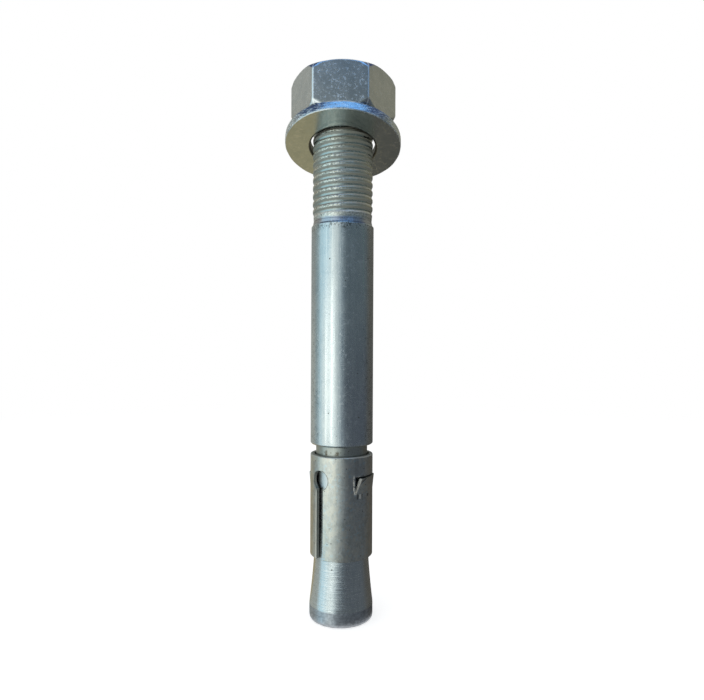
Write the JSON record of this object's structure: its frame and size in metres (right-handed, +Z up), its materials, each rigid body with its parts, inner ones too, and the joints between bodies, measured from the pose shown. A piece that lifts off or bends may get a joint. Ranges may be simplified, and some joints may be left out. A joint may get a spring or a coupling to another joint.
{
  "type": "wedge anchor",
  "caption": "Zinc-plated wedge anchor: threaded stud with a flared end, a slotted expansion clip on its neck, a washer and a hexagon nut.",
  "frame": {"origin": "centre of the flat end of the flare, which the anchor stands on", "axes": "+Z up along the bolt's axis, from the flared end to the nut; -Y is the front, with the clip's keyhole to its left (-X) and a lug to its right (+X)"},
  "size_m": [0.0366, 0.0356, 0.17],
  "materials": {
    "anchor_bolt": "turned and cold-formed steel, bright zinc plate with a cool blue-grey cast",
    "expansion_clip": "rolled sheet steel, duller galvanised zinc with specks",
    "washer": "stamped sheet steel, bright zinc plate",
    "hex_nut": "cold-formed steel, bright zinc plate, scuffed flats"
  },
  "bodies": {
    "bolt": {"anchor_bolt": "anchor_bolt"},
    "clip": {"expansion_clip": "expansion_clip"},
    "washer": {"washer": "washer"},
    "nut": {"hex_nut": "hex_nut"}
  },
  "joints": [
    {"name": "clip_slide", "type": "slide", "parent": "bolt", "child": "clip", "axis": [0, 0, 1], "range_m": [0, 0.003]},
    {"name": "washer_travel", "type": "slide", "parent": "bolt", "child": "washer", "axis": [0, 0, 1], "range_m": [-0.02, 0.01125]},
    {"name": "nut_turn", "type": "hinge", "parent": "washer", "child": "nut", "pos_m": [0, 0, 0], "axis": [0, 0, 1], "range_deg": [-2881, 1621]}
  ],
  "couplings": [
    {"joint": "nut_turn", "follows": "washer_travel", "rad_per_m": 2513.3}
  ]
}
